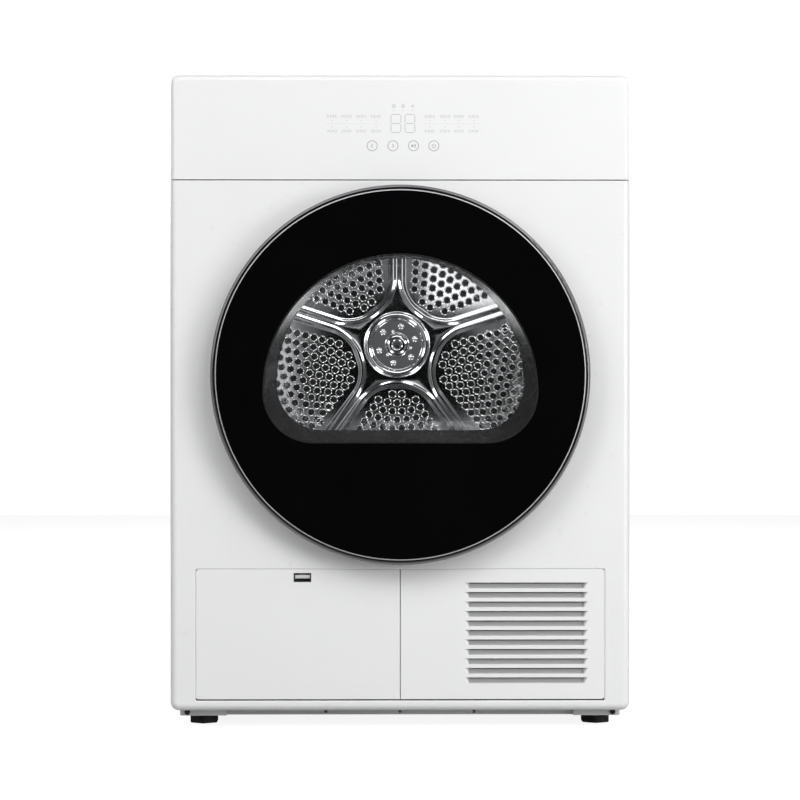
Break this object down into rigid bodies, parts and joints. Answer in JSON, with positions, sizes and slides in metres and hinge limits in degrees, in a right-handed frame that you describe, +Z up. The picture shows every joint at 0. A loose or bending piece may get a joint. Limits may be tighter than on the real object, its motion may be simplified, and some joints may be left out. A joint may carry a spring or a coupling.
{
  "type": "clothes dryer",
  "caption": "Front-loading heat-pump clothes dryer with a round glazed door, touch control fascia, louvred grille, service flap, belt-driven drum and levelling feet.",
  "frame": {"origin": "middle of the footprint, on the floor under the feet", "axes": "+Z up, the door faces -Y, +X to the right seen from the front"},
  "size_m": [0.595, 0.64, 0.845],
  "materials": {
    "white_paint": "satin",
    "white_plastic": "satin",
    "light_plastic": "matt",
    "grey_plastic": "matt",
    "dark_plastic": "matt",
    "black_gloss": "gloss",
    "ring_grey": "gloss",
    "bezel_grey": "gloss",
    "clear_glass": "clear",
    "seal_rubber": "matt",
    "foot_rubber": "matt",
    "drum_steel": "polished",
    "zinc_steel": "galvanised",
    "shaft_steel": "ground",
    "screw_steel": "black zinc",
    "felt": "felt",
    "belt_rubber": "ribbed",
    "motor_paint": "satin",
    "compressor_paint": "satin",
    "fin_aluminium": "mill",
    "copper_brass": "drawn copper",
    "board_green": "solder mask",
    "tank_plastic": "translucent",
    "lever_blue": "matt",
    "bronze": "sintered"
  },
  "bodies": {
    "cabinet": {"front_panel": "white_paint", "control_fascia": "white_plastic", "control_board": "board_green", "top_cover": "white_plastic", "side_panel_left": "white_paint", "side_panel_right": "white_paint", "rear_panel": "zinc_steel", "rear_duct_cover": "zinc_steel", "base_tray": "light_plastic", "cabinet_screws": "screw_steel", "lower_grille": "white_plastic", "front_bulkhead": "zinc_steel", "loading_port": "grey_plastic", "port_felt": "felt", "door_seal": "seal_rubber", "door_catch": "dark_plastic", "door_hinge_bracket": "shaft_steel", "lint_filter": "light_plastic", "rear_bearing": "bronze", "drive_belt": "belt_rubber", "motor_housing": "motor_paint", "fan_volute": "grey_plastic", "air_duct": "grey_plastic", "evaporator": "fin_aluminium", "condenser": "fin_aluminium", "exchanger_filter": "dark_plastic", "filter_cover": "light_plastic", "water_tank": "tank_plastic", "tank_cap": "lever_blue", "compressor": "compressor_paint", "refrigerant_pipes": "copper_brass", "condensate_pump": "dark_plastic", "cable_gland": "dark_plastic"},
    "door": {"door_outer_ring": "ring_grey", "door_glass": "black_gloss", "window_bezel": "bezel_grey", "door_bowl": "clear_glass", "door_frame": "light_plastic", "door_hook": "light_plastic", "door_hinge_block": "zinc_steel"},
    "drum": {"drum_shell": "drum_steel", "drum_back": "drum_steel", "drum_lifters": "grey_plastic", "drum_hub_cover": "drum_steel", "drum_hub_rivets": "shaft_steel", "drum_shaft": "shaft_steel"},
    "rotor": {"motor_shaft": "shaft_steel", "fan_impeller": "grey_plastic"},
    "roller_left": {"support_roller_left": "dark_plastic"},
    "roller_right": {"support_roller_right": "dark_plastic"},
    "belt_tensioner": {"tension_arm": "zinc_steel"},
    "idler": {"idler_pulley": "grey_plastic"},
    "flap": {"flap_panel": "white_plastic", "latch_housing": "dark_plastic"},
    "latch": {"latch_tab": "light_plastic"},
    "lever": {"lock_lever": "lever_blue"},
    "foot_fl": {"foot_front_left": "foot_rubber"},
    "foot_fr": {"foot_front_right": "foot_rubber"},
    "foot_rl": {"foot_rear_left": "foot_rubber"},
    "foot_rr": {"foot_rear_right": "foot_rubber"}
  },
  "joints": [
    {"name": "door_hinge", "type": "hinge", "parent": "cabinet", "child": "door", "pos_m": [0.233, -0.303, 0.4575], "axis": [0, 0, 1], "range_deg": [0, 110]},
    {"name": "drum_spin", "type": "hinge", "parent": "cabinet", "child": "drum", "pos_m": [0, 0.1, 0.505], "axis": [0, 1, 0], "continuous": true},
    {"name": "motor_spin", "type": "hinge", "parent": "cabinet", "child": "rotor", "pos_m": [0.175, 0.16, 0.112], "axis": [0, 1, 0], "continuous": true},
    {"name": "roller_left_spin", "type": "hinge", "parent": "cabinet", "child": "roller_left", "pos_m": [-0.16231, -0.173, 0.24524], "axis": [0, 1, 0], "continuous": true},
    {"name": "roller_right_spin", "type": "hinge", "parent": "cabinet", "child": "roller_right", "pos_m": [0.16231, -0.173, 0.24524], "axis": [0, 1, 0], "continuous": true},
    {"name": "tension_arm_pivot", "type": "hinge", "parent": "cabinet", "child": "belt_tensioner", "pos_m": [0.15, 0.107, 0.058], "axis": [0, -1, 0], "range_deg": [0, 12], "stiffness_Nm_per_rad": 4, "springref_deg": -14.32},
    {"name": "idler_spin", "type": "hinge", "parent": "belt_tensioner", "child": "idler", "pos_m": [0.105, 0.095, 0.15], "axis": [0, 1, 0], "continuous": true},
    {"name": "flap_hinge", "type": "hinge", "parent": "cabinet", "child": "flap", "pos_m": [-0.132, -0.2795, 0.0435], "axis": [1, 0, 0], "range_deg": [0, 90]},
    {"name": "latch_slide", "type": "slide", "parent": "flap", "child": "latch", "axis": [0, 0, -1], "range_m": [0, 0.0028], "stiffness_N_per_m": 600, "springref_m": -0.002},
    {"name": "lock_lever_turn", "type": "hinge", "parent": "cabinet", "child": "lever", "pos_m": [-0.063, -0.265, 0.15], "axis": [0, 1, 0], "range_deg": [0, 90]},
    {"name": "foot_fl_turn", "type": "hinge", "parent": "cabinet", "child": "foot_fl", "pos_m": [-0.258, -0.216, 0.02], "axis": [0, 0, 1], "continuous": true},
    {"name": "foot_fr_turn", "type": "hinge", "parent": "cabinet", "child": "foot_fr", "pos_m": [0.258, -0.216, 0.02], "axis": [0, 0, 1], "continuous": true},
    {"name": "foot_rl_turn", "type": "hinge", "parent": "cabinet", "child": "foot_rl", "pos_m": [-0.258, 0.25, 0.02], "axis": [0, 0, 1], "continuous": true},
    {"name": "foot_rr_turn", "type": "hinge", "parent": "cabinet", "child": "foot_rr", "pos_m": [0.258, 0.25, 0.02], "axis": [0, 0, 1], "continuous": true}
  ],
  "couplings": [
    {"joint": "motor_spin", "follows": "drum_spin", "ratio": 27.6},
    {"joint": "roller_left_spin", "follows": "drum_spin", "ratio": -9.2},
    {"joint": "roller_right_spin", "follows": "drum_spin", "ratio": -9.2},
    {"joint": "idler_spin", "follows": "drum_spin", "ratio": -15.333}
  ]
}
